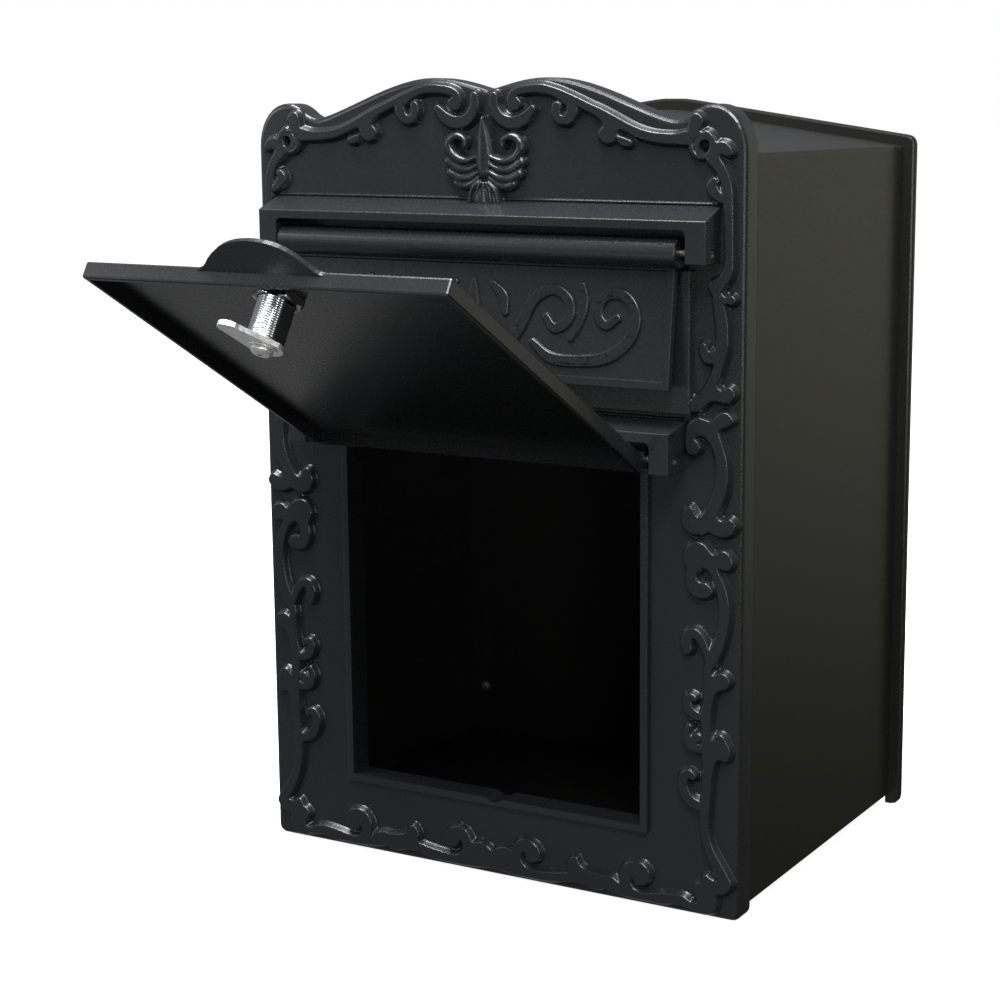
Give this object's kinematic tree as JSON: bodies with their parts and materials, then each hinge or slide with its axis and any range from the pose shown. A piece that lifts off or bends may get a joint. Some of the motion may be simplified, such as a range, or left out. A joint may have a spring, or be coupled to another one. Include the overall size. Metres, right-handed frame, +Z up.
{
  "type": "letter box",
  "caption": "Lockable cast letter box: hooded mail flap over a top-hinged retrieval door with a cam lock, on a gabled sheet-metal body with a rear mounting plate.",
  "frame": {"origin": "centre of the rear plate's mounting face", "axes": "+X to the right seen from the front, +Y out of the back towards the wall, +Z up"},
  "size_m": [0.33, 0.4549, 0.459],
  "materials": {
    "powder_black": "satin black powder coat on a casting",
    "powder_black_sheet": "satin black powder coat on sheet",
    "chrome_plate": "bright chrome plate",
    "zinc_plate": "zinc plate",
    "bare_steel": "plain steel"
  },
  "bodies": {
    "box": {"front_plate": "powder_black", "body_shell": "powder_black_sheet", "rear_plate": "powder_black_sheet", "front_screw_1": "bare_steel", "front_screw_2": "bare_steel", "front_screw_3": "bare_steel", "front_screw_4": "bare_steel", "front_screw_5": "bare_steel", "front_screw_6": "bare_steel", "rear_screw_1": "bare_steel", "rear_screw_2": "bare_steel", "rear_screw_3": "bare_steel", "rear_screw_4": "bare_steel", "rear_screw_5": "bare_steel", "rear_screw_6": "bare_steel", "flap_pin_left": "bare_steel", "flap_pin_right": "bare_steel", "door_pin_left": "bare_steel", "door_pin_right": "bare_steel"},
    "flap": {"mail_flap": "powder_black"},
    "door": {"door_panel": "powder_black", "lock_housing": "chrome_plate", "lock_nut": "chrome_plate"},
    "lock_core": {"lock_plug": "chrome_plate", "lock_cam": "zinc_plate", "lock_washer": "zinc_plate", "cam_screw": "zinc_plate"}
  },
  "joints": [
    {"name": "flap_hinge", "type": "hinge", "parent": "box", "child": "flap", "pos_m": [0, -0.2431, 0.1428], "axis": [-1, 0, 0], "range_deg": [-5.5, 80]},
    {"name": "door_hinge", "type": "hinge", "parent": "box", "child": "door", "pos_m": [0, -0.2466, 0.0328], "axis": [1, 0, 0], "range_deg": [-12, 120.3]},
    {"name": "lock_turn", "type": "hinge", "parent": "door", "child": "lock_core", "pos_m": [-0.0025, -0.41669, 0.13219], "axis": [0, -0.5045, -0.8634], "range_deg": [-17, 73]}
  ]
}
